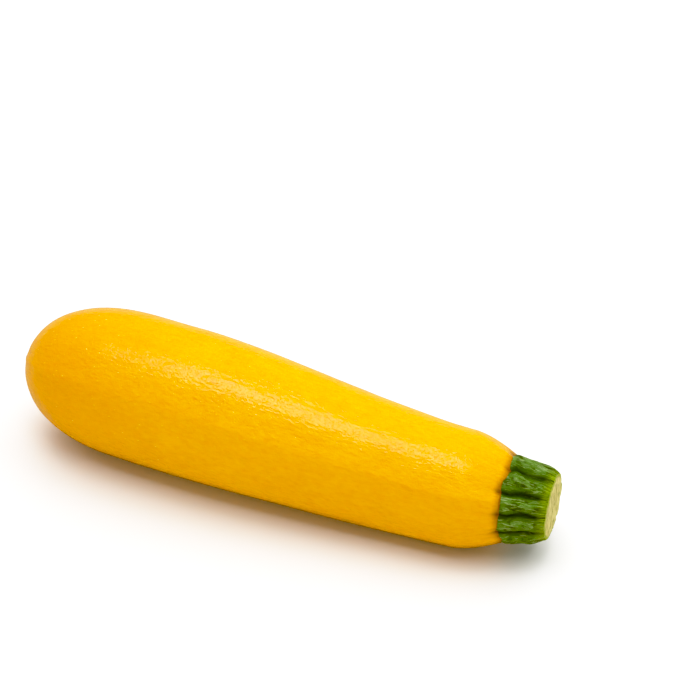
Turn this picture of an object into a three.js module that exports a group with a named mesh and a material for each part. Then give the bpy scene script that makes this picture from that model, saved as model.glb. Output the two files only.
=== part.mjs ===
// A yellow zucchini as picked: the fruit and the stub of its cut stem.
// Millimetres, +Z up. It lies on its side along X, blossom end at -X and stem at +X.
// Both pieces are round sections carried along one bent line, the spine.
// The origin is on the ground, under the middle of the whole shape.
import * as THREE from 'three';

// Places along the spine, measured from the middle of its bend
const blossomX = -93.9;          // where the rounded blossom end would close to a point
const seatX = 81.2;              // the fruit's flat end, where the stem grows out
const stemX = 81.5;              // the stem's foot
const cutX = 96.0;               // the knife cut through the stem

// Fruit
const bodyRadius = 25;           // at the thick blossom half
const neckRadius = 19.6;         // towards the stem
const taperStartX = -35;
const taperEndX = 74;
const domeLength = 41;           // length of the rounded blossom end
const domePower = 2.33;          // 2 is an ellipse, more is blunter
const shoulderLength = 15;       // how far before the stem the neck turns in
const shoulderDrop = 4.7;        // and by how much its radius falls
const shoulderPower = 1.65;
const ridgeCount = 5;
const ridgeHeightBody = 0.12;
const ridgeHeightNeck = 0.45;

// Blossom scar: a shallow dish where the flower fell off
const scarRadius = 4.4;
const scarDepth = 0.5;

// Stem
const stemFootRadius = 14.9;
const stemCutRadius = 11.2;
const stemTaperPower = 2.2;      // the stem keeps its width, then narrows to the cut
const stemRibCount = 10;
const grooveDepth = 1.5;

// Spine: bows sideways, and hooks aside towards the stem
const bendDepth = 2.7;
const bendHalfLength = 94;
const hookStartX = 53;
const hookAside = 2.1;

// The underside is pressed flat by this much where it lies on the ground
const groundPress = 0.45;

// Mesh steps
const fruitRings = 40;
const fruitSides = 50;
const scarRings = 2;
const stemRings = 8;
const stemSides = 80;

const { clamp, lerp, smoothstep } = THREE.MathUtils;

function bodyRadiusAt(x) {
  return lerp(bodyRadius, neckRadius, smoothstep(x, taperStartX, taperEndX));
}

// 0 at the blossom end, 1 where its dome has reached the full width
function intoDome(x) {
  return clamp((x - blossomX) / domeLength, 0, 1);
}

// Centre of the section at x, and the level direction across the spine there
function spineAt(x) {
  const hook = clamp((x - hookStartX) / (cutX - hookStartX), 0, 1);
  const bow = 1 - (x / bendHalfLength) ** 2;
  const y = -bendDepth * bow + hookAside * hook ** 2;
  const z = bodyRadiusAt(x) - groundPress;
  const slope = (2 * bendDepth * x) / bendHalfLength ** 2 + (2 * hookAside * hook) / (cutX - hookStartX);
  return { centre: new THREE.Vector3(x, y, z), across: new THREE.Vector3(-slope, 1, 0).normalize() };
}

// A point on the section at x, never below the ground
function sectionPoint(x, angle, radius) {
  const { centre, across } = spineAt(x);
  const point = centre.addScaledVector(across, radius * Math.cos(angle));
  point.z = Math.max(point.z + radius * Math.sin(angle), 0);
  return point;
}

// Smooth skin radius at x: a rounded dome, the tapering body, then the shoulder
function skinRadius(x) {
  const dome = Math.sqrt(1 - (1 - intoDome(x)) ** domePower);
  const intoShoulder = clamp((x - (seatX - shoulderLength)) / shoulderLength, 0, 1);
  return bodyRadiusAt(x) * dome - shoulderDrop * intoShoulder ** shoulderPower;
}

// The skin with five low ridges, which run on from every second rib of the stem
function fruitRadius(x, angle) {
  const height = lerp(ridgeHeightBody, ridgeHeightNeck, smoothstep(x, taperStartX, seatX));
  return skinRadius(x) + height * intoDome(x) * Math.cos(ridgeCount * angle);
}

// Where the dome has narrowed to the scar's radius
function scarEdgeX() {
  const share = scarRadius / bodyRadius;
  return blossomX + domeLength * (1 - (1 - share ** 2) ** (1 / domePower));
}

// Ten rounded ribs with narrow grooves between them
function stemRadius(x, angle) {
  const along = (x - stemX) / (cutX - stemX);
  const top = lerp(stemFootRadius, stemCutRadius, along ** stemTaperPower);
  const rib = Math.abs(Math.cos((stemRibCount / 2) * angle));
  return top - grooveDepth * (1 - rib);
}

function ring(x, sides, radiusAt) {
  const points = [];
  for (let side = 0; side < sides; side++) {
    const angle = (2 * Math.PI * side) / sides;
    points.push(sectionPoint(x, angle, radiusAt(x, angle)));
  }
  return points;
}

// Closed skin over rings of equal count, from a first point to a last point
function skinGeometry(first, rings, last) {
  const sides = rings[0].length;
  const vertices = [first, ...rings.flat(), last];
  const lastIndex = vertices.length - 1;
  const at = (row, side) => 1 + row * sides + (side % sides);
  const faces = [];
  for (let side = 0; side < sides; side++) {
    faces.push(0, at(0, side + 1), at(0, side));
    faces.push(lastIndex, at(rings.length - 1, side), at(rings.length - 1, side + 1));
    for (let row = 0; row < rings.length - 1; row++) {
      faces.push(at(row, side), at(row, side + 1), at(row + 1, side));
      faces.push(at(row, side + 1), at(row + 1, side + 1), at(row + 1, side));
    }
  }
  const geometry = new THREE.BufferGeometry().setFromPoints(vertices);
  geometry.setIndex(faces);
  geometry.computeVertexNormals();
  return geometry;
}

// Rings crowd towards both ends, where the section changes fastest
function crowdedEnds(start, end, count) {
  return Array.from({ length: count }, (_, i) =>
    lerp(start, end, 0.5 - 0.5 * Math.cos((Math.PI * i) / (count - 1))));
}

function fruitMesh() {
  const edgeX = scarEdgeX();
  const dishX = (share) => edgeX + scarDepth * (1 - share ** 2);
  const rings = [];
  for (let i = 1; i <= scarRings; i++) {
    const share = i / (scarRings + 1);
    rings.push(ring(dishX(share), fruitSides, () => scarRadius * share));
  }
  for (const x of crowdedEnds(edgeX, seatX, fruitRings)) {
    rings.push(ring(x, fruitSides, fruitRadius));
  }
  const geometry = skinGeometry(spineAt(dishX(0)).centre, rings, spineAt(seatX).centre);
  const mesh = new THREE.Mesh(geometry, new THREE.MeshStandardMaterial({
    color: '#fbc404', roughness: 0.38, metalness: 0,
  }));
  mesh.name = 'fruit';
  return mesh;
}

function stemMesh() {
  const rings = [];
  for (let i = 0; i < stemRings; i++) {
    rings.push(ring(lerp(stemX, cutX, i / (stemRings - 1)), stemSides, stemRadius));
  }
  const geometry = skinGeometry(spineAt(stemX).centre, rings, spineAt(cutX).centre);
  const mesh = new THREE.Mesh(geometry, new THREE.MeshStandardMaterial({
    color: '#5f7420', roughness: 0.6, metalness: 0,
  }));
  mesh.name = 'stem';
  return mesh;
}

const zucchini = new THREE.Group();
zucchini.add(fruitMesh(), stemMesh());

// Stand the origin on the ground under the middle
const extent = new THREE.Box3().setFromObject(zucchini);
const middle = extent.getCenter(new THREE.Vector3());
zucchini.position.set(-middle.x, -middle.y, -extent.min.z);

export default zucchini;
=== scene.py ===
import math

import bpy
import numpy as np
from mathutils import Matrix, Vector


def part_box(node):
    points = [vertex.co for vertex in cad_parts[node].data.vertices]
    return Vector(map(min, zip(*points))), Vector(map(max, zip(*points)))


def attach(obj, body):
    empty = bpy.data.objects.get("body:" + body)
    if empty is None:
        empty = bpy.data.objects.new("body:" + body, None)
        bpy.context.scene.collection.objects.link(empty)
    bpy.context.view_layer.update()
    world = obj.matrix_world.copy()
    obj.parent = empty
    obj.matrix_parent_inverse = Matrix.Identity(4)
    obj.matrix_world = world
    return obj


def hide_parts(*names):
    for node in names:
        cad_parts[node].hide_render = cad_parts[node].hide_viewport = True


# A yellow zucchini as picked, lying on its side: the waxy fruit and the cut stub of its stem.
# Both are round sections carried along one bent spine, and finer copies of the two CAD nodes.
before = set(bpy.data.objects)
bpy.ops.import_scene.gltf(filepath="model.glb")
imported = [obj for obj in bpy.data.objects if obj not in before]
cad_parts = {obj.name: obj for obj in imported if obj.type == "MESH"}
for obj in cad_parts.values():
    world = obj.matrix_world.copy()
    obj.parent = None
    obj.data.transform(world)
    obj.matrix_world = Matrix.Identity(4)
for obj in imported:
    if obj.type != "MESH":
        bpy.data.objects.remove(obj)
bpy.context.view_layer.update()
print("frame loaded")

mm = 0.001


def linearColour(hexCode):
    # sRGB hex to the linear values that Blender's colour inputs take
    channels = [int(hexCode[i:i + 2], 16) / 255 for i in (1, 3, 5)]
    linear = [c / 12.92 if c <= 0.04045 else ((c + 0.055) / 1.055) ** 2.4 for c in channels]
    return (*linear, 1.0)


def setInputs(tree, node, inputs):
    # each input, by its name or number, gets a value or the socket that feeds it
    for key, value in inputs.items():
        if isinstance(value, bpy.types.NodeSocket):
            tree.links.new(value, node.inputs[key])
        else:
            node.inputs[key].default_value = value


def addNode(tree, kind, inputs, output=0, **settings):
    # Mix and Math take inputs by number. In Mix, 0 is the share, 2 and 3 are values, 6 and 7 colours
    node = tree.nodes.new("ShaderNode" + kind)
    for key, value in settings.items():
        setattr(node, key, value)
    setInputs(tree, node, inputs)
    return node.outputs[output]


def newMaterial(name):
    material = bpy.data.materials.new(name)
    material.use_nodes = True
    tree = material.node_tree
    return material, tree, tree.nodes["Principled BSDF"]


view = dict(
    azimuth=23.4,              # degrees round from the fruit's side, towards the stem
    elevation=38.0,
    distance=0.95,
    aim=(-0.0088, 0.0763, 0),  # a point on the ground beyond the fruit
    lens=135.3,
    sensor=36.0,
)


def addCamera():
    # stands back from the aim along the direction that azimuth and elevation give
    turn = math.radians(view["azimuth"])
    rise = math.radians(view["elevation"])
    level = math.cos(rise)
    back = np.array([math.sin(turn) * level, -math.cos(turn) * level, math.sin(rise)])
    camera = bpy.data.objects.new("camera", bpy.data.cameras.new("camera"))
    camera.data.lens = view["lens"]
    camera.data.sensor_width = view["sensor"]
    camera.location = np.array(view["aim"]) + view["distance"] * back
    camera.rotation_euler = (math.pi / 2 - rise, 0, turn)
    bpy.context.scene.collection.objects.link(camera)
    bpy.context.scene.camera = camera


studio = dict(
    # each softbox: its place, its tilt from facing down in degrees, its size, its radiance, and
    # whether shiny skin mirrors it
    softboxes=dict(
        keyAbove=((-0.15, -0.14, 2.0), 0, (1.30, 0.66), 4.8, True),
        keyEnd=((-1.05, -0.14, 2.0), 0, (0.50, 0.66), 1.5, True),
        fillBehind=((0.0, 1.22, 2.0), 0, (3.20, 1.96), 2.8, False),
        fillFront=((0.0, -0.80, 2.0), 0, (3.20, 0.50), 2.9, False),
        lowFront=((-0.20, -2.40, 0.4), 81, (3.20, 0.60), 0.7, False),
        fillStemSide=((1.70, 0.20, 2.0), 0, (1.00, 1.60), 2.3, False),
        lowBehind=((-0.20, 2.60, 1.0), -70, (3.20, 1.20), 1.3, False),
    ),
    roomColour="#FFFFFF",
    roomStrength=0.35,
    roomMirrored=0.23,         # the room as shiny skin mirrors it, as if screened off by black flags
    roomSeen=1.2,              # and as the camera sees it past the floor's edge
    floorColour="#F2F1F0",
    floorMirroredColour="#B3A386",   # the floor as shiny skin mirrors it
    floorRoughness=0.9,
    floorSpecular=0.2,
    floorSize=2.8,
    blackLevel=(0.0, 0.005, 0.045),  # warm deep blacks: lifts the grey veil off saturated yellow
    whiteLevel=1.2,            # the light that shows as pure white
    # tone curve, from a share of the white level to what it shows as: straight, then easing in
    softWhites=((0.30, 0.36), (0.58, 0.696), (0.75, 0.865), (0.875, 0.945)),
)


def addSoftboxes():
    for name, (place, tilt, size, radiance, mirrored) in studio["softboxes"].items():
        lamp = bpy.data.lights.new(name, "AREA")
        lamp.shape = "RECTANGLE"
        lamp.size, lamp.size_y = size
        lamp.energy = radiance * math.pi * size[0] * size[1]   # watts of a flat lamp that bright
        holder = bpy.data.objects.new(name, lamp)
        holder.location = place
        holder.rotation_euler.x = math.radians(tilt)
        holder.visible_glossy = mirrored
        bpy.context.scene.collection.objects.link(holder)


def addRoom():
    world = bpy.data.worlds.new("room")
    world.use_nodes = True
    tree = world.node_tree
    seen = addNode(tree, "LightPath", {}, "Is Camera Ray")
    mirrored = seen.node.outputs["Is Glossy Ray"]
    strength = addNode(tree, "Mix", {
        0: mirrored, 2: studio["roomStrength"], 3: studio["roomMirrored"]})
    strength = addNode(tree, "Mix", {0: seen, 2: strength, 3: studio["roomSeen"]})
    setInputs(tree, tree.nodes["Background"], {
        "Color": linearColour(studio["roomColour"]),
        "Strength": strength,
    })
    bpy.context.scene.world = world


def setTones():
    # plain colours as lit, but for the black level and the whites, which ease in
    display = bpy.context.scene.view_settings
    display.view_transform = "Standard"
    display.use_curve_mapping = True
    tones = display.curve_mapping
    tones.black_level = studio["blackLevel"]
    tones.white_level = [studio["whiteLevel"]] * 3
    allChannels = tones.curves[3]
    for share, level in studio["softWhites"]:
        allChannels.points.new(share, level)
    tones.update()


def addFloor():
    half = studio["floorSize"] / 2
    corners = [(-half, -half, 0), (half, -half, 0), (half, half, 0), (-half, half, 0)]
    mesh = bpy.data.meshes.new("floor")
    mesh.from_pydata(corners, [], [(0, 1, 2, 3)])
    floor = bpy.data.objects.new("floor", mesh)
    bpy.context.scene.collection.objects.link(floor)
    material, tree, shader = newMaterial("matteWhitePaper")
    mirrored = addNode(tree, "LightPath", {}, "Is Glossy Ray")
    setInputs(tree, shader, {
        "Base Color": addNode(tree, "Mix", {
            0: mirrored,
            6: linearColour(studio["floorColour"]),
            7: linearColour(studio["floorMirroredColour"]),
        }, 2, data_type="RGBA"),
        "Roughness": studio["floorRoughness"],
        "Specular IOR Level": studio["floorSpecular"],
    })
    mesh.materials.append(material)


addCamera()
addSoftboxes()
addRoom()
setTones()
addFloor()
print("camera, softboxes, room and floor placed")

# The ten ribs of the stem, each running on as a low ridge of the fruit. For each: its angle round
# the spine in degrees, from +Y towards up, its height on the stem and its strength on the fruit.
ribs = ((35, 0.90, 0.2), (75, 1.00, 0.3), (116, 0.90, 0.3), (145, 0.80, 1.5), (177, 1.00, 0.2),
        (206, 0.85, 0.6), (243, 1.00, 0.9), (281, 0.90, 0.4), (318, 1.00, 0.8), (355, 0.85, 0.5))
ribTwist = 3                   # degrees that the ridges turn on their way from the stem,
ribTwistLength = 20 * mm       # over this length
ribWander = 2.2                # degrees that the ribs wander on the stem,
ribWanderLength = 9 * mm       # in bends about this long

# Where skin and stem meet, round the stem: degrees and how far along, in millimetres
meetingLine = ((67, 0.0), (104, 1.0), (123, -0.5), (150, 0.0), (182, 0.1),
               (208, 1.4), (250, 0.6), (300, 0.0), (340, 0.9), (20, -0.3))
stemFootX = 81.2 * mm          # where the stem's ribs start, along the spine

patternRadius = 20 * mm        # patterns are wrapped round a cylinder of this radius


def smoothRise(value, start, end):
    # 0 before start, 1 after end, an S curve between them; start may be the larger
    t = np.clip((value - start) / (end - start), 0, 1)
    return t * t * (3 - 2 * t)


def mix(a, b, share):
    # a where the share is 0, b where it is 1, a straight line between them
    return a + (b - a) * share


def roundSteps(angle, points):
    # for each angle: the values at the two points it lies between, and the share of the way
    degrees = np.degrees(angle) % 360
    knots = np.array(sorted(points), float)
    wrapped = np.vstack([knots[-1] - (360, 0), knots, knots[0] + (360, 0)])
    before = np.clip(np.searchsorted(wrapped[:, 0], degrees, side="right") - 1, 0, len(wrapped) - 2)
    share = (degrees - wrapped[before, 0]) / (wrapped[before + 1, 0] - wrapped[before, 0])
    return wrapped[before, 1], wrapped[before + 1, 1], share


def loopCurve(angle, points):
    # passes through each (degrees, value) point and eases to the next along an S curve
    a, b, share = roundSteps(angle, points)
    return mix(a, b, smoothRise(share, 0, 1))


def ribWave(angle, ridges=1):
    # 1 along each rib's crown, falling to 0 in the groove halfway to the next, as |cos|;
    # more ridges, an odd number, split each rib lengthwise
    _, _, share = roundSteps(angle, [rib[:2] for rib in ribs])
    return np.abs(np.cos(ridges * math.pi * share))


def waveField(points, size, seed, count=28):
    # soft lumps: the sum of sine waves about one size long, crossing in random directions
    random = np.random.default_rng(seed)
    directions = random.normal(size=(count, 3))
    directions /= np.linalg.norm(directions, axis=1, keepdims=True)
    waveNumbers = 2 * math.pi / size * random.uniform(0.7, 1.4, count)   # some longer, some shorter
    phases = random.uniform(0, 2 * math.pi, count)
    waves = np.sin(points @ (directions * waveNumbers[:, None]).T + phases)
    return waves.sum(-1) * math.sqrt(2 / count)


def unrolled(along, angle):
    # pattern space: length along the skin, then the angle on a cylinder of one radius
    shape = np.broadcast_shapes(along.shape, angle.shape)
    return np.stack([np.broadcast_to(along, shape),
                     np.broadcast_to(patternRadius * np.cos(angle), shape),
                     np.broadcast_to(patternRadius * np.sin(angle), shape)], -1)


def wandering(angle, x, steadiness):
    # the ribs' own angle: it strays most at the foot of the stem, least where steadiness is 1
    stray = waveField(unrolled(x, angle), ribWanderLength, seed=41)
    return angle + math.radians(ribWander) * (1 - steadiness) * stray


spine = dict(
    bendDepth=2.7 * mm,        # the bow to one side
    bendHalfLength=94 * mm,
    hookStartX=53 * mm,
    hookEndX=95.7 * mm,
    hookAside=2.1 * mm,        # the turn back towards the stem
    groundPress=0.45 * mm,     # how far the underside is pressed flat
    groundBlend=0.15 * mm,     # and how softly
)

fruit = dict(
    blossomX=-93.9 * mm,       # where the rounded blossom end would close to a point
    seatX=80.9 * mm,           # where the skin ends at the stem
    bodyRadius=25 * mm,
    neckRadius=19.6 * mm,
    taperStartX=-35 * mm,
    taperEndX=74 * mm,
    domeLength=41 * mm,
    domePower=2.33,            # 2 is an ellipse, more is blunter
    shoulderLength=15 * mm,
    shoulderDrop=4.7 * mm,
    shoulderPower=1.65,
    ridgeBody=0.31 * mm,       # height of the ridges that run on from the stem's ribs
    ridgeNeck=0.40 * mm,
    ridgeNeckStartX=15 * mm,   # from here they grow to their height at the neck
    ridgeTip=0.13 * mm,        # what they gain at the blossom end,
    ridgeTipReach=45 * mm,     # from so far round the dome
    ridgeSoftness=0.17,
    meetingReach=12 * mm,      # how far back from the stem the wavy meeting line is felt
    pleatDepth=0.75 * mm,      # how far the skin dips into the stem's grooves
    pleatLength=3.2 * mm,
    creaseDepth=0.34 * mm,     # fainter creases run on from the dips
    creaseLength=11 * mm,
    wrinkleDepth=0.45 * mm,    # and small wrinkles between them, on the underside
    wrinkleLength=7 * mm,
    wrinkleSides=(-0.4, 0.5),  # sine of the angle below level where they start and are full
    # painted brown shade round the stem, where shade falls, with some real browning: in the pleats,
    # between them as a share of that, and how late each sets in; then in the creases, in the wrinkles
    # and on the lip
    pleatShade=0.88,
    betweenShade=0.6,
    pleatEase=1.2,
    betweenEase=3,
    creaseShade=0.12,
    wrinkleShade=0.3,
    lipShade=0.85,
    lipShadeReach=(-0.5 * mm, 0.15 * mm),   # starts and is full, from the skin's end
    lipRadius=0.45 * mm,       # the skin's rolled edge round the stem
    lipTurn=100,               # degrees that it rolls in
    seatDepth=1.5 * mm,        # the hidden seat inside it
    seatSlope=2 * mm,
    # wave length and height of the skin's lumps, drawn out along the fruit
    lumps=((34 * mm, 0.10 * mm), (11 * mm, 0.030 * mm), (4 * mm, 0.010 * mm)),
    lumpStretch=2.2,
    poleFade=4 * mm,           # lumps and ridges die out within this radius
    rings=410,
    sides=236,
    crowding=2.2,              # extra rows at the scar and at the stem, as a share
    scarCrowded=3 * mm,        # how far from the scar
    stemCrowded=(9 * mm, 4 * mm),   # how far before the stem they start and are full
    hiddenCrowding=0.6,        # rows on the hidden seat, as a share
)

scar = dict(
    radius=4.4 * mm,
    dishDepth=0.4 * mm,
    pitDepth=1.0 * mm,
    pitRadius=0.7 * mm,
    rimHeight=0.12 * mm,
    rimWidth=0.45 * mm,
    corkHeight=0.10 * mm,
    corkGrain=1.3 * mm,
    corkFade=4 * mm,           # how far round the scar the cork gives way to smooth skin
)

# fine steps of the fruit's profile, from which its rows are drawn
scarSteps = 200
skinSteps = 3000
lipSteps = 60
hiddenSteps = 50


def bodyRadiusAt(x):
    # an S curve from the body's radius down to the neck's
    taper = smoothRise(x, fruit["taperStartX"], fruit["taperEndX"])
    return mix(fruit["bodyRadius"], fruit["neckRadius"], taper)


def intoDome(x):
    # 0 at the blossom end, 1 where its dome reaches the full width
    return np.clip((x - fruit["blossomX"]) / fruit["domeLength"], 0, 1)


def skinRadius(x):
    # superelliptic dome, tapering body, then the shoulder's power curve
    dome = np.sqrt(1 - (1 - intoDome(x)) ** fruit["domePower"])
    shoulderStart = fruit["seatX"] - fruit["shoulderLength"]
    intoShoulder = np.clip((x - shoulderStart) / fruit["shoulderLength"], 0, 1)
    return bodyRadiusAt(x) * dome - fruit["shoulderDrop"] * intoShoulder ** fruit["shoulderPower"]


def sweep(x, radius, angle):
    # the point at that radius and angle round the spine, square to it, and softly kept above the
    # ground; the spine is a parabola's bow plus a parabola's hook that starts at hookStartX
    hookLength = spine["hookEndX"] - spine["hookStartX"]
    hook = np.clip((x - spine["hookStartX"]) / hookLength, 0, 1)
    bow = 1 - (x / spine["bendHalfLength"]) ** 2
    y = spine["hookAside"] * hook ** 2 - spine["bendDepth"] * bow
    z = bodyRadiusAt(x) - spine["groundPress"]
    slope = 2 * spine["bendDepth"] * x / spine["bendHalfLength"] ** 2
    slope = slope + 2 * spine["hookAside"] * hook / hookLength
    stretch = np.sqrt(1 + slope ** 2)
    across = radius * np.cos(angle)
    height = z + radius * np.sin(angle)
    height = (height + np.sqrt(height ** 2 + spine["groundBlend"] ** 2)) / 2
    return np.stack([x - across * slope / stretch, y + across / stretch, height], -1)


def scarEdgeX():
    # where the dome has narrowed to the scar's radius
    share = scar["radius"] / fruit["bodyRadius"]
    return fruit["blossomX"] + fruit["domeLength"] * (1 - (1 - share ** 2) ** (1 / fruit["domePower"]))


def fruitProfile():
    # scar dish with a pit and a raised rim, the skin, the rolled lip, then the hidden seat
    r = np.linspace(0, scar["radius"], scarSteps)
    dish = scar["dishDepth"] * (1 - (r / scar["radius"]) ** 2)
    pit = scar["pitDepth"] * np.exp(-(r / scar["pitRadius"]) ** 2)
    rim = scar["rimHeight"] * np.exp(-((scar["radius"] - r) / scar["rimWidth"] - 1) ** 2)
    scarX = scarEdgeX() + dish + pit - rim
    along = 0.5 - 0.5 * np.cos(np.linspace(0, math.pi, skinSteps))
    bodyX = mix(scarEdgeX(), fruit["seatX"], along)[1:]
    roll = np.linspace(0, math.radians(fruit["lipTurn"]), lipSteps)[1:]
    lipX = fruit["seatX"] + fruit["lipRadius"] * np.sin(roll)
    lipR = skinRadius(fruit["seatX"]) - fruit["lipRadius"] * (1 - np.cos(roll))
    seatR = np.linspace(lipR[-1], 0, lipSteps)[1:]
    intoSeat = smoothRise(seatR, lipR[-1], lipR[-1] - fruit["seatSlope"])
    seatX = mix(lipX[-1], fruit["seatX"] - fruit["seatDepth"], intoSeat)
    return (np.concatenate([scarX, bodyX, lipX, seatX]),
            np.concatenate([r, skinRadius(bodyX), lipR, seatR]))


def evenRows(x, radius, density, count):
    # walks the profile and drops its rows evenly by length times density
    lengths = np.hypot(np.diff(x), np.diff(radius))
    walked = np.concatenate([[0], np.cumsum(lengths * (density[1:] + density[:-1]) / 2)])
    along = np.concatenate([[0], np.cumsum(lengths)])
    places = np.linspace(0, walked[-1], count)
    return [np.interp(places, walked, row)[:, None] for row in (x, radius, along)]


def ringMesh(name, rings, values):
    # a closed skin over the rings, with a fan to a pole at each end, and its point attributes
    rows, sides = rings.shape[:2]
    points = np.vstack([rings[0].mean(0), rings.reshape(-1, 3), rings[-1].mean(0)])
    here = 1 + np.arange(rows * sides).reshape(rows, sides)
    beside = np.roll(here, -1, axis=1)
    quads = np.stack([here[:-1], beside[:-1], beside[1:], here[1:]], -1).reshape(-1, 4)
    firstFan = np.stack([np.zeros(sides, int), beside[0], here[0]], -1)
    lastFan = np.stack([np.full(sides, len(points) - 1), here[-1], beside[-1]], -1)
    faces = quads.tolist() + firstFan.tolist() + lastFan.tolist()
    mesh = bpy.data.meshes.new(name)
    mesh.from_pydata(points.tolist(), [], faces)
    for key, grid in values.items():
        grid = np.broadcast_to(grid, (rows, sides) + grid.shape[2:])
        data = np.concatenate([grid[0, 0].ravel(), grid.ravel(), grid[-1, 0].ravel()])
        kind, field = ("FLOAT_VECTOR", "vector") if grid.ndim == 3 else ("FLOAT", "value")
        attribute = mesh.attributes.new(key, kind, "POINT")
        attribute.data.foreach_set(field, data.astype(np.float32))
    mesh.polygons.foreach_set("use_smooth", np.ones(len(mesh.polygons), bool))
    mesh.update()
    piece = bpy.data.objects.new(name, mesh)
    bpy.context.scene.collection.objects.link(piece)
    return piece


def ridgeHeight(angle, x, along):
    # low crisp ridges, nearly flat between them: 1 - |sin|, each with its rib's own strength
    turning = smoothRise(x, fruit["seatX"], fruit["seatX"] - ribTwistLength)
    turned = angle - math.radians(ribTwist) * turning
    a, b, share = roundSteps(turned, [(rib[0], rib[2]) for rib in ribs])
    crest = 1 - np.sqrt(np.sin(math.pi * share) ** 2 + fruit["ridgeSoftness"] ** 2)
    nearNeck = smoothRise(x, fruit["ridgeNeckStartX"], fruit["taperEndX"])
    nearTip = smoothRise(along, fruit["ridgeTipReach"], scar["radius"])
    height = mix(fruit["ridgeBody"], fruit["ridgeNeck"], nearNeck) + fruit["ridgeTip"] * nearTip
    return height * crest * np.where(share < 0.5, a, b)


def buildFruit():
    # the profile swept along the spine; its radius gains the ridges and soft lumps, and loses
    # pleats, creases and wrinkles round the stem, while cork roughens the scar
    x, radius = fruitProfile()
    nearScar = smoothRise(x, scarEdgeX() + fruit["scarCrowded"], scarEdgeX())
    crowdedFrom, crowdedFull = fruit["stemCrowded"]
    nearStem = smoothRise(x, fruit["seatX"] - crowdedFrom, fruit["seatX"] - crowdedFull)
    density = 1 + fruit["crowding"] * nearScar + fruit["crowding"] * nearStem
    density[-hiddenSteps:] = fruit["hiddenCrowding"]
    x, radius, along = evenRows(x, radius, density, fruit["rings"])
    angle = np.linspace(0, 2 * math.pi, fruit["sides"], endpoint=False)[None, :]

    meeting = smoothRise(x, fruit["seatX"] - fruit["meetingReach"], fruit["seatX"])
    placeX = x + loopCurve(angle, meetingLine) * mm * meeting

    footAngle = wandering(angle, np.array([[stemFootX]]), 0)
    groove = 1 - ribWave(footAngle)
    intoPleat = smoothRise(x, fruit["seatX"] - fruit["pleatLength"], fruit["seatX"])
    intoCrease = smoothRise(x, fruit["seatX"] - fruit["creaseLength"], fruit["seatX"])
    intoWrinkle = smoothRise(x, fruit["seatX"] - fruit["wrinkleLength"], fruit["seatX"])
    below = smoothRise(-np.sin(angle), *fruit["wrinkleSides"])
    wrinkle = intoWrinkle * below * (1 - ribWave(footAngle, 3))

    bulge = ridgeHeight(angle, x, along)
    bulge = bulge - (fruit["pleatDepth"] * intoPleat ** 2 + fruit["creaseDepth"] * intoCrease) * groove
    bulge = bulge - fruit["wrinkleDepth"] * wrinkle
    smooth = sweep(placeX, radius, angle)
    for number, (size, height) in enumerate(fruit["lumps"]):
        stretched = smooth / (fruit["lumpStretch"], 1, 1)
        bulge = bulge + height * waveField(stretched, size, seed=11 + number)
    fromScar = smoothRise(along, scar["radius"], scar["radius"] + scar["corkFade"])
    bulge = bulge * fromScar * np.minimum(1, radius / fruit["poleFade"])
    cork = (1 - fromScar) * scar["corkHeight"] * waveField(smooth, scar["corkGrain"], seed=31)
    rings = sweep(placeX - cork, radius + bulge, angle)

    # painted shade round the stem: brown darkening in the pleats, creases, wrinkles and lip; partly
    # real browning
    ease = mix(fruit["betweenEase"], fruit["pleatEase"], groove)
    shade = fruit["pleatShade"] * intoPleat ** ease * mix(fruit["betweenShade"], 1, groove)
    shade = shade + fruit["creaseShade"] * intoCrease ** 2 * groove
    shade = shade + fruit["wrinkleShade"] * intoWrinkle * wrinkle
    shadeFrom, shadeFull = fruit["lipShadeReach"]
    intoLip = smoothRise(x, fruit["seatX"] + shadeFrom, fruit["seatX"] + shadeFull)
    creviceShadeAndBrowning = np.maximum(np.minimum(1, shade), fruit["lipShade"] * intoLip)
    return ringMesh("zucchiniFruit", rings[1:-1], {
        "skinPlace": unrolled(along, angle)[1:-1],
        "creviceShadeAndBrowning": creviceShadeAndBrowning[1:-1],
    })


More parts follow.
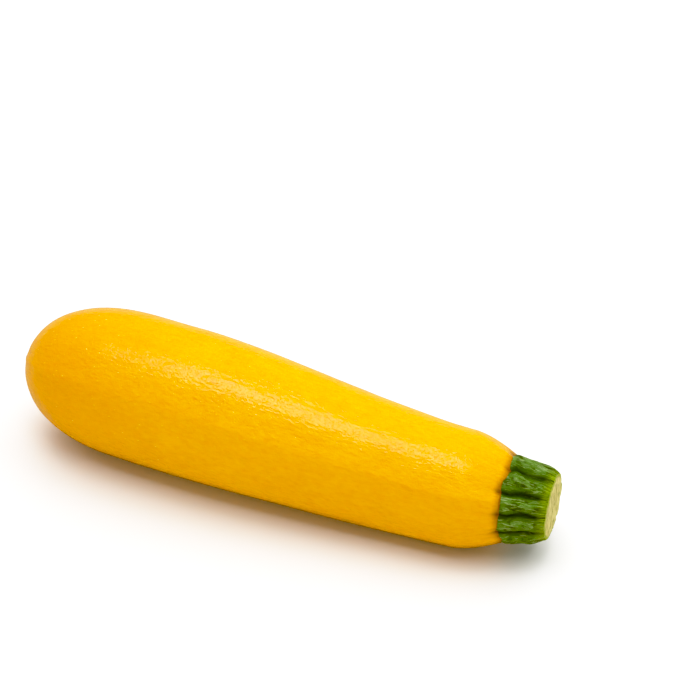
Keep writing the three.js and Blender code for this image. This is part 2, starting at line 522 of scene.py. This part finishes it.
stem = dict(
    cutX=95.9 * mm,
    footRadius=14.9 * mm,
    cutRadius=11.2 * mm,
    taperPower=2.2,
    tuck=2.4 * mm,             # how far the foot goes down inside the fruit's lip
    tuckShare=0.72,            # radius of the hidden foot, as a share of the stem's
    cutLean=0.07,              # the knife leaned: one side of the cut reaches further out
    cutLeanStart=0.2,          # where the lean sets in, as a share of the stem's length
    meetingReach=0.6,          # and how far up the wavy meeting line is felt
    grooveFoot=1.4 * mm,
    grooveMiddle=2.5 * mm,
    grooveCut=0.65 * mm,
    grooveDeepest=0.3,         # shares of the length: where the grooves are deepest
    grooveCloses=0.45,         # and where they begin to close
    ribRoundness=0.6,          # below 1 gives fat ribs with narrow grooves
    ribHollowness=1.6,         # above 1 gives wide hollows, partway along
    hollowGrows=(0.05, 0.35),  # shares of the length: where the hollows start and are full
    hollowGoes=(0.85, 0.55),   # and where they are gone and begin to go
    furrowDepth=0.36 * mm,     # two furrows split each rib partway along
    furrowEnds=0.3,            # share of that depth left at the foot and the cut
    # wave length and height of the knobs, drawn out along the stem
    lumps=((4.2 * mm, 0.28 * mm), (1.9 * mm, 0.06 * mm)),
    lumpStretch=1.8,
    lumpGrows=0.25,            # share of the length over which they grow up from the foot
    lumpLoss=0.75,             # and the share of their height that is gone at the cut
    strandCount=84,            # fine ridges on the ribs
    strandHeight=0.21 * mm,
    strandFoot=0.3,            # share of their height at the foot
    strandGrows=0.5,           # the share of the length in which they would gain it all
    strandSway=0.6,            # radians that they sway, in bends about this long
    strandSwayLength=8 * mm,
    strandFade=0.3,            # share by which they come and go, in patches of this size
    strandPatch=5 * mm,
    crownDrop=1.1 * mm,        # how much lower a rib of height 0 would stand
    bevel=0.25 * mm,
    faceDish=0.3 * mm,
    faceFibre=0.06 * mm,       # height of the torn fibres on the cut face
    faceFibreWidth=1.6 * mm,
    faceFibreSquash=0.3,       # their width over their length; they run upright
    bundleRing=7.6 * mm,       # ring of strand ends on the cut
    bundleSize=0.55 * mm,
    footRings=9,
    rings=112,
    faceRings=40,
    faceSpacing=0.85,          # below 1 sets these rings closer together at the middle
    sides=560,
)


def buildStem():
    # the foot hidden in the fruit, ten ribs narrowing to the cut, a bevelled edge, the cut face
    angle = np.linspace(0, 2 * math.pi, stem["sides"], endpoint=False)[None, :]
    share = np.linspace(0, 1, stem["rings"])[:, None]
    x = mix(stemFootX, stem["cutX"], share)
    place = unrolled(x, angle)
    bent = wandering(angle, x, share)

    # ribs: the taper, less the low crowns, the grooves and the furrows
    crownHeight = loopCurve(bent, [rib[:2] for rib in ribs])
    crown = ribWave(bent)
    opening = smoothRise(share, 0, stem["grooveDeepest"])
    closing = smoothRise(share, stem["grooveCloses"], 1)
    depth = mix(stem["grooveFoot"], stem["grooveMiddle"], opening)
    depth = mix(depth, stem["grooveCut"], closing)
    hollow = smoothRise(share, *stem["hollowGrows"]) * smoothRise(share, *stem["hollowGoes"])
    flank = mix(stem["ribRoundness"], stem["ribHollowness"], hollow)
    furrow = stem["furrowDepth"] * mix(stem["furrowEnds"], 1, hollow) * (1 - ribWave(bent, 3))
    radius = mix(stem["footRadius"], stem["cutRadius"], share ** stem["taperPower"])
    radius = radius - stem["crownDrop"] * (1 - crownHeight) - depth * (1 - crown ** flank)
    radius = radius - furrow

    # knobs: soft lumps that grow up from the foot and fade towards the cut
    knobby = np.minimum(1, share / stem["lumpGrows"]) * (1 - stem["lumpLoss"] * share)
    for number, (size, height) in enumerate(stem["lumps"]):
        stretched = place / (stem["lumpStretch"], 1, 1)
        radius = radius + knobby * height * waveField(stretched, size, seed=42 + 5 * number)

    # strands: |sin| ridges that sway, and that come and go
    sway = stem["strandSway"] * waveField(place, stem["strandSwayLength"], seed=43)
    patches = stem["strandFade"] * waveField(place, stem["strandPatch"], seed=45)
    strand = np.abs(np.sin(stem["strandCount"] / 2 * angle + sway))
    strand = strand * (1 - stem["strandFade"] + patches)
    strandGrowth = np.minimum(1, stem["strandFoot"] + share / stem["strandGrows"])
    radius = radius + stem["strandHeight"] * strandGrowth * strand

    # shift along the spine: the wavy meeting line at the foot, the knife's lean at the cut
    shift = loopCurve(angle, meetingLine) * mm * (1 - smoothRise(share, 0, stem["meetingReach"]))
    leaning = smoothRise(share, stem["cutLeanStart"], 1)
    shift = shift + stem["cutLean"] * radius * np.cos(angle) * leaning

    # foot: a quarter ellipse curling in under the lip
    curl = np.linspace(0, math.pi / 2, stem["footRings"] + 1)[:-1, None]
    footX = x[0] - stem["tuck"] * np.cos(curl) + shift[:1]
    footRadius = radius[:1] * mix(stem["tuckShare"], 1, np.sin(curl))

    # face: shrinks the last ring to the centre, slightly dished, behind a rounded edge
    inward = np.linspace(0, 1, stem["faceRings"])[1:, None] ** stem["faceSpacing"]
    rim = radius[-1:]
    faceRadius = rim * (1 - inward)
    fromRim = rim - faceRadius
    bevel = stem["bevel"] * np.sqrt(1 - np.clip(1 - fromRim / stem["bevel"], 0, 1) ** 2)
    faceY = faceRadius * np.cos(angle)
    faceZ = faceRadius * np.sin(angle)
    fibrePlace = np.stack([faceY, faceZ * stem["faceFibreSquash"], 0 * faceY], -1)
    fibre = waveField(fibrePlace, stem["faceFibreWidth"], seed=44)
    faceX = stem["cutX"] + bevel - stem["faceDish"] * smoothRise(fromRim, 0, rim)
    faceX = faceX + stem["faceFibre"] * fibre + stem["cutLean"] * faceY

    allX = np.vstack([footX, x + shift, faceX])
    allRadius = np.vstack([footRadius, radius, faceRadius])
    rings = sweep(allX, allRadius, np.broadcast_to(angle, allX.shape))

    # signed way from the rim of the cut: below 0 on the sides, above 0 on the face
    sideX = np.broadcast_to(x, radius.shape)
    fromCut = np.vstack([footX - stem["cutX"], sideX - stem["cutX"], fromRim])
    footCrown = np.repeat(crown[:1], len(footX), 0)
    faceCrown = np.repeat(crown[-1:], len(faceX), 0)
    bundle = np.zeros_like(allX)
    for rib in ribs:
        y = faceY - stem["bundleRing"] * math.cos(math.radians(rib[0]))
        z = faceZ - stem["bundleRing"] * math.sin(math.radians(rib[0]))
        bundle[-len(faceX):] += np.exp(-(y ** 2 + z ** 2) / stem["bundleSize"] ** 2)
    return ringMesh("zucchiniStem", rings[:-1], {
        "stemPlace": unrolled(np.vstack([footX, sideX, faceX]), angle)[:-1],
        "fromCut": fromCut[:-1],
        "crown": np.vstack([footCrown, crown, faceCrown])[:-1],
        "bundle": bundle[:-1],
    })


def pointsOf(piece):
    points = np.empty(len(piece.data.vertices) * 3)
    piece.data.vertices.foreach_get("co", points)
    return points.reshape(-1, 3)


def settleOnFrame(pieces):
    # one shift for all pieces: blossom end and width onto the CAD fruit, underside onto the ground
    low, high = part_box("fruit")
    ownLow, ownHigh = pointsOf(pieces[0]).min(0), pointsOf(pieces[0]).max(0)
    shift = (low.x - ownLow[0], (low.y + high.y - ownLow[1] - ownHigh[1]) / 2, -ownLow[2])
    for piece in pieces:
        piece.data.vertices.foreach_set("co", (pointsOf(piece) + shift).ravel())
        piece.data.update()


fruitPiece = buildFruit()
stemPiece = buildStem()
settleOnFrame([fruitPiece, stemPiece])
print("fruit shaped:", len(fruitPiece.data.vertices), "points")
print("stem shaped:", len(stemPiece.data.vertices), "points")

skinFinish = dict(
    baseColour="#F3AB0A",
    deepColour="#E29003",      # streaks and the shaded flesh tone
    paleColour="#FAB81E",
    speckColour="#FFD860",
    corkColour="#CDB484",
    corkPitColour="#957A47",
    rimColour="#76691F",
    # painted brown shade round the stem, with some real browning
    creviceShadeAndBrowningColour="#784206",
    fineWidth=0.7 * mm,        # fine lines along the fruit
    broadWidth=4.5 * mm,       # and broad soft ones
    streakStretch=5,           # times as long as they are wide
    cloudSize=24 * mm,
    speckGap=1.3 * mm,
    speckSizes=(0.05, 0.20),   # smallest and largest radius, as shares of the gap
    mottleSize=1.2 * mm,
    grainSize=1.0 * mm,        # finer in life, drawn as coarse as shows
    grainStretch=2.2,
    grainHeight=0.30 * mm,
    poreGap=0.85 * mm,         # small pits that break up the highlight
    poreDepth=0.11 * mm,
    corkGrain=0.7 * mm,
    corkHeight=0.35 * mm,
    raggedWidth=1.6 * mm,      # how far the edges round the scar stray, in bends as long
    waxRoughness=(0.05, 0.13),
    corkRoughness=0.85,
    ior=1.43,                  # plant wax
    specular=0.55,
    fleshWeight=0.25,          # light that soaks into the flesh, and how deep it goes
    fleshRadius=(1.0, 0.45, 0.08),
    fleshDepth=3 * mm,
)


def waxySkin():
    # Squash skin: a thin shiny wax over soft yellow flesh. It gives the eye a saturated, slightly
    # translucent yellow, a broken highlight, pale pinprick specks and fine streaks along the fruit;
    # round the stem, painted brown shade with some real browning.
    look = skinFinish
    material, tree, shader = newMaterial("waxySquashSkin")
    place = addNode(tree, "Attribute", {}, "Vector", attribute_name="skinPlace")
    along = addNode(tree, "SeparateXYZ", {"Vector": place}, "X")
    # painted brown shade round the stem, partly real browning
    creviceShadeAndBrowning = addNode(tree, "Attribute", {}, "Fac", attribute_name="creviceShadeAndBrowning")
    here = addNode(tree, "TexCoord", {}, "Object")
    streaky = addNode(tree, "Mapping", {"Vector": place, "Scale": (1 / look["streakStretch"], 1, 1)})
    grainy = addNode(tree, "Mapping", {"Vector": place, "Scale": (1 / look["grainStretch"], 1, 1)})

    # each noise: the space it is drawn in, its size and its detail
    noises = {}
    for name, space, size, detail in (
            ("fine", streaky, look["fineWidth"], 3.0),
            ("broad", streaky, look["broadWidth"], 2.0),
            ("cloud", here, look["cloudSize"], 3.0),
            ("grain", grainy, look["grainSize"], 2.0),
            ("mottle", grainy, look["mottleSize"], 3.0),
            ("cork", here, look["corkGrain"], 3.0),
            ("ragged", here, look["raggedWidth"], 2.0)):
        noises[name] = addNode(tree, "TexNoise", {
            "Vector": space, "Scale": 1 / size, "Detail": detail}, "Fac")

    # pale specks, thicker towards the blossom end, each cell drawing its own size
    cells = addNode(tree, "TexVoronoi", {"Vector": grainy, "Scale": 1 / look["speckGap"]}, "Color")
    drawn = addNode(tree, "SeparateColor", {"Color": cells}, "Red")
    smallest, largest = look["speckSizes"]
    size = addNode(tree, "MapRange", {"Value": drawn, "To Min": smallest, "To Max": largest})
    inSpeck = addNode(tree, "Math", {
        0: cells.node.outputs["Distance"], 1: size}, operation="DIVIDE")

    # pits, each cell drawing its own depth
    pores = addNode(tree, "TexVoronoi", {"Vector": place, "Scale": 1 / look["poreGap"]}, "Distance")
    poreShare = addNode(tree, "SeparateColor", {"Color": pores.node.outputs["Color"]}, "Green")

    # the way along the skin from the scar's centre, made ragged for the edges round the scar
    ragged = addNode(tree, "Math", {
        0: noises["ragged"], 1: look["raggedWidth"], 2: along}, operation="MULTIPLY_ADD")

    # each mask: what it reads, the values where it starts and is full, and its strength
    masks = {}
    for name, source, start, full, strength in (
            ("outOfPore", pores, 0.0, 0.42, 1.0),
            ("finePale", noises["fine"], 0.48, 0.70, 0.28),
            ("fineDeep", noises["fine"], 0.48, 0.28, 0.20),
            ("broadDeep", noises["broad"], 0.46, 0.68, 0.12),
            ("cloudDeep", noises["cloud"], 0.42, 0.70, 0.22),
            ("mottlePale", noises["mottle"], 0.50, 0.66, 0.24),
            ("mottleDeep", noises["mottle"], 0.48, 0.32, 0.18),
            ("tipDeep", along, 90 * mm, 25 * mm, 0.50),
            ("speck", inSpeck, 1.0, 0.4, 1.0),
            ("speckAmount", along, 170 * mm, 50 * mm, 0.75),
            ("rim", ragged, scar["radius"] + 1.9 * mm, scar["radius"] + 1.0 * mm, 0.85),
            ("cork", ragged, scar["radius"] + 1.1 * mm, scar["radius"] + 0.7 * mm, 1.0),
            ("corkPit", noises["cork"], 0.52, 0.36, 0.8)):
        masks[name] = addNode(tree, "MapRange", {
            "Value": source, "From Min": start, "From Max": full, "To Max": strength,
        }, interpolation_type="SMOOTHSTEP")
    specks = addNode(tree, "Math", {
        0: masks["speck"], 1: masks["speckAmount"]}, operation="MULTIPLY")
    corkPits = addNode(tree, "Math", {
        0: masks["cork"], 1: masks["corkPit"]}, operation="MULTIPLY")

    # colours laid over one another, each through its mask
    colour = linearColour(look["baseColour"])
    for share, hexCode in (
            (masks["finePale"], look["paleColour"]),
            (masks["fineDeep"], look["deepColour"]),
            (masks["broadDeep"], look["deepColour"]),
            (masks["cloudDeep"], look["deepColour"]),
            (masks["mottlePale"], look["paleColour"]),
            (masks["mottleDeep"], look["deepColour"]),
            (masks["tipDeep"], look["deepColour"]),
            (specks, look["speckColour"]),
            # painted brown shade round the stem, partly real browning
            (creviceShadeAndBrowning, look["creviceShadeAndBrowningColour"]),
            (masks["rim"], look["rimColour"]),
            (masks["cork"], look["corkColour"]),
            (corkPits, look["corkPitColour"])):
        colour = addNode(tree, "Mix", {
            0: share, 6: colour, 7: linearColour(hexCode),
        }, 2, data_type="RGBA")

    # one height in metres feeds the bump
    grain = addNode(tree, "Math", {
        0: noises["grain"], 1: look["grainHeight"]}, operation="MULTIPLY")
    corkGrain = addNode(tree, "Math", {
        0: noises["cork"], 1: masks["cork"]}, operation="MULTIPLY")
    poreLevel = addNode(tree, "Math", {
        0: masks["outOfPore"], 1: poreShare}, operation="MULTIPLY")
    height = addNode(tree, "Math", {
        0: corkGrain, 1: look["corkHeight"], 2: grain}, operation="MULTIPLY_ADD")
    height = addNode(tree, "Math", {
        0: poreLevel, 1: look["poreDepth"], 2: height}, operation="MULTIPLY_ADD")
    bump = addNode(tree, "Bump", {"Height": height, "Distance": 1.0})

    # glossier and duller patches of wax, and dull cork
    glossiest, dullest = look["waxRoughness"]
    wax = addNode(tree, "MapRange", {
        "Value": noises["broad"], "From Min": 0.3, "From Max": 0.7,
        "To Min": glossiest, "To Max": dullest})
    roughness = addNode(tree, "Mix", {0: masks["cork"], 2: wax, 3: look["corkRoughness"]})
    setInputs(tree, shader, {
        "Base Color": colour,
        "Roughness": roughness,
        "IOR": look["ior"],
        "Specular IOR Level": look["specular"],
        "Subsurface Weight": look["fleshWeight"],
        "Subsurface Radius": look["fleshRadius"],
        "Subsurface Scale": look["fleshDepth"],
        "Normal": bump,
    })
    return material


stemFinish = dict(
    # the groove colour is a deeper green darkened with painted shade; the crown colour carries painted
    # sheen
    grooveGreenAndShadeColour="#1E3A06",
    sideColour="#3D6220",
    crownGreenAndSheenColour="#567C34",
    # pale streaks and flecks: partly dusty wax, partly painted glints
    bloomAndGlintColour="#98B072",
    limeColour="#849B22",
    pithColour="#E6DA90",
    fibreColour="#A89E48",
    rindColour="#9CAA3A",
    bundleColour="#8F9746",
    streakWidth=0.45 * mm,
    streakStretch=6.5,         # times as long as they are wide
    blotchSize=2.6 * mm,
    fleckGap=1.5 * mm,
    fleckStretch=2.6,
    fibreWidth=0.55 * mm,      # fibres on the cut face
    fibreStretch=9,
    noiseRoughness=0.65,       # more gives the patterns sharper fine detail
    streakHeight=0.26 * mm,
    blotchHeight=0.25 * mm,
    fibreHeight=0.10 * mm,
    rindRoughness=0.34,
    faceRoughness=0.7,
    ior=1.43,
)


def greenPeduncle():
    # Squash stem: hard ribbed green rind with a thin dusty wax on the crowns and lime flesh by the
    # cut.
    # It gives the eye deep glossy grooves darkened with painted shade, crowns lightened with painted
    # sheen, dusty pale streaks and flecks that are partly painted glints, and a fibrous creamy cut
    # face.
    look = stemFinish
    material, tree, shader = newMaterial("ribbedSquashStem")
    place = addNode(tree, "Attribute", {}, "Vector", attribute_name="stemPlace")
    fromCut = addNode(tree, "Attribute", {}, "Fac", attribute_name="fromCut")
    crown = addNode(tree, "Attribute", {}, "Fac", attribute_name="crown")
    bundle = addNode(tree, "Attribute", {}, "Fac", attribute_name="bundle")
    here = addNode(tree, "TexCoord", {}, "Object")
    streaky = addNode(tree, "Mapping", {"Vector": place, "Scale": (1 / look["streakStretch"], 1, 1)})
    flecked = addNode(tree, "Mapping", {"Vector": place, "Scale": (1 / look["fleckStretch"], 1, 1)})
    upright = addNode(tree, "Mapping", {"Vector": here, "Scale": (1, 1, 1 / look["fibreStretch"])})

    # each noise: the space it is drawn in, its size and its detail
    noises = {}
    for name, space, size, detail in (
            ("streak", streaky, look["streakWidth"], 3.0),
            ("blotch", here, look["blotchSize"], 3.0),
            ("fibre", upright, look["fibreWidth"], 3.0)):
        noises[name] = addNode(tree, "TexNoise", {
            "Vector": space, "Scale": 1 / size, "Detail": detail,
            "Roughness": look["noiseRoughness"],
        }, "Fac")
    cells = addNode(tree, "TexVoronoi", {
        "Vector": flecked, "Scale": 1 / look["fleckGap"]}, "Distance")

    # each mask: what it reads, the values where it starts and is full, and its strength
    masks = {}
    for name, source, start, full, strength in (
            # side and crown ramp the colour from painted shade in the grooves to painted sheen on the
            # crowns
            ("side", crown, 0.10, 0.70, 1.0),
            ("crown", crown, 0.55, 1.00, 1.0),
            ("blotch", noises["blotch"], 0.38, 0.62, 0.9),
            ("dark", noises["blotch"], 0.50, 0.38, 0.75),
            # pale streaks on the ribs: partly dusty wax, partly painted glints
            ("bloomAndGlint", noises["streak"], 0.54, 0.63, 0.75),
            ("onRib", crown, 0.25, 0.85, 1.0),
            ("lime", fromCut, -3.6 * mm, -0.2 * mm, 0.9),
            ("limeStreak", noises["streak"], 0.38, 0.58, 1.0),
            ("fleck", cells, 0.22, 0.08, 0.22),
            ("face", fromCut, 0.05 * mm, 0.25 * mm, 1.0),
            ("fibre", noises["fibre"], 0.60, 0.36, 0.9),
            ("rind", fromCut, 1.5 * mm, 0.5 * mm, 1.0)):
        masks[name] = addNode(tree, "MapRange", {
            "Value": source, "From Min": start, "From Max": full, "To Max": strength,
        }, interpolation_type="SMOOTHSTEP")
    for name, first, second in (
            ("raised", masks["crown"], masks["blotch"]),
            ("ribBloomAndGlint", masks["bloomAndGlint"], masks["onRib"]),
            ("limeEnd", masks["lime"], masks["limeStreak"]),
            ("strandEnd", masks["face"], bundle),
            ("faceFibre", masks["face"], masks["fibre"]),
            ("faceRind", masks["face"], masks["rind"])):
        masks[name] = addNode(tree, "Math", {0: first, 1: second}, operation="MULTIPLY")

    # colours laid over one another, each through its mask
    # painted shade darkens the grooves, painted sheen lightens the crowns, pale streaks and flecks are
    # partly painted glints
    colour = linearColour(look["grooveGreenAndShadeColour"])
    for share, hexCode in (
            (masks["side"], look["sideColour"]),
            (masks["raised"], look["crownGreenAndSheenColour"]),
            (masks["dark"], look["grooveGreenAndShadeColour"]),
            (masks["ribBloomAndGlint"], look["bloomAndGlintColour"]),
            (masks["limeEnd"], look["limeColour"]),
            (masks["fleck"], look["bloomAndGlintColour"]),
            (masks["face"], look["pithColour"]),
            (masks["faceFibre"], look["fibreColour"]),
            (masks["strandEnd"], look["bundleColour"]),
            (masks["faceRind"], look["rindColour"])):
        colour = addNode(tree, "Mix", {
            0: share, 6: colour, 7: linearColour(hexCode),
        }, 2, data_type="RGBA")

    # one height in metres feeds the bump
    height = 0.0
    for name in ("streak", "blotch", "fibre"):
        height = addNode(tree, "Math", {
            0: noises[name], 1: look[name + "Height"], 2: height}, operation="MULTIPLY_ADD")
    bump = addNode(tree, "Bump", {"Height": height, "Distance": 1.0})
    roughness = addNode(tree, "Mix", {
        0: masks["face"], 2: look["rindRoughness"], 3: look["faceRoughness"]})
    setInputs(tree, shader, {
        "Base Color": colour,
        "Roughness": roughness,
        "IOR": look["ior"],
        "Normal": bump,
    })
    return material


fruitPiece.data.materials.append(waxySkin())
stemPiece.data.materials.append(greenPeduncle())
print("skin and stem finished")

for piece, node, slot in ((fruitPiece, "fruit", "skin"), (stemPiece, "stem", "stem")):
    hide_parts(node)
    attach(piece, "root")
